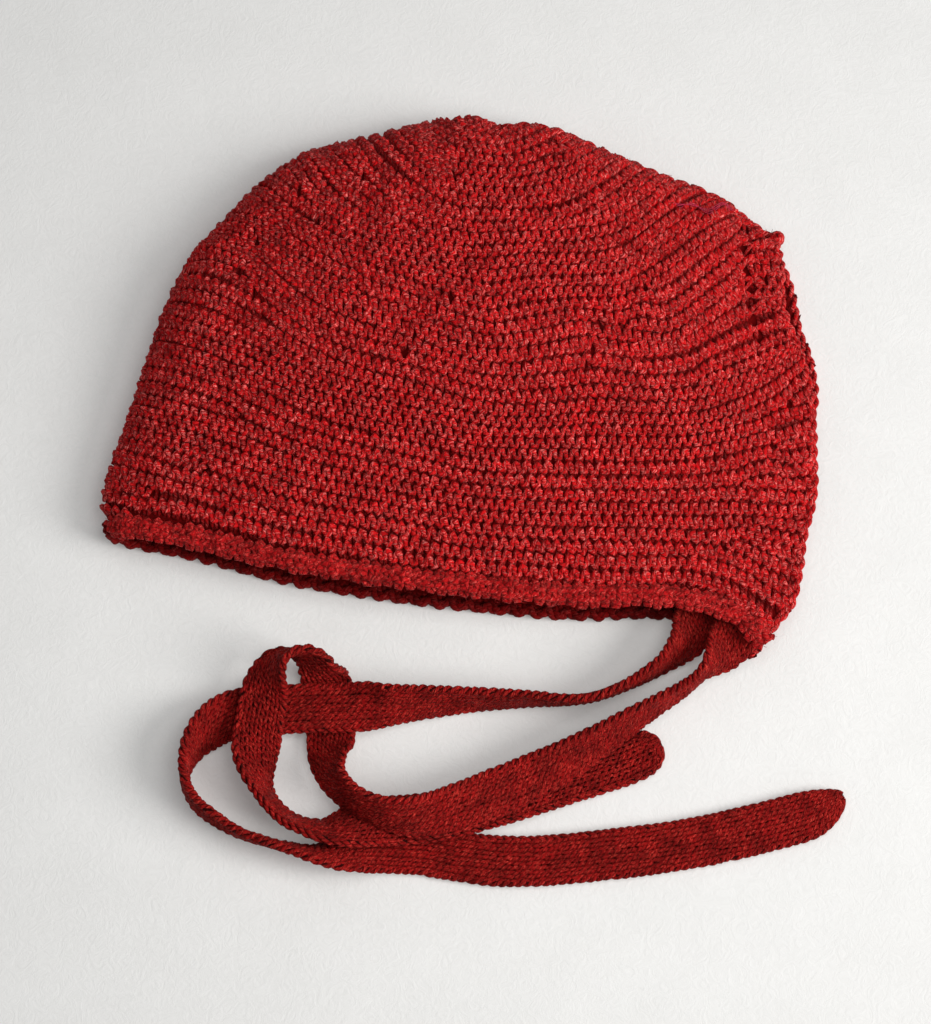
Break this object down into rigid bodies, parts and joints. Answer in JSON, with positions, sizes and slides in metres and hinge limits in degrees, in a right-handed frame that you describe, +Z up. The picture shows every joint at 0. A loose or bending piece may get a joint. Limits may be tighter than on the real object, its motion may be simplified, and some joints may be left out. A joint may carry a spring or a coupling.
{
  "type": "knitted baby bonnet",
  "caption": "Knitted baby bonnet with a ribbed body, a neck band, a chain edging round the face and long flat knitted ties, lying on its side.",
  "frame": {"origin": "on the table, under the middle of the bonnet without its ties", "axes": "+X from the back of the head to the face opening, +Y from the neck to the crown, +Z up from the table"},
  "size_m": [0.1755, 0.1888, 0.027],
  "materials": {
    "garter_knit": "matte wool yarn, garter stitch",
    "band_knit": "matte fuzzy wool yarn, knitted band",
    "edging_knit": "matte wool yarn, chain edging",
    "tie_knit": "matte wool yarn, stockinette"
  },
  "bodies": {
    "root": {"bonnet_body": "garter_knit", "neck_band": "band_knit", "face_edging": "edging_knit", "tie_right": "tie_knit", "tie_left": "tie_knit"}
  },
  "joints": []
}
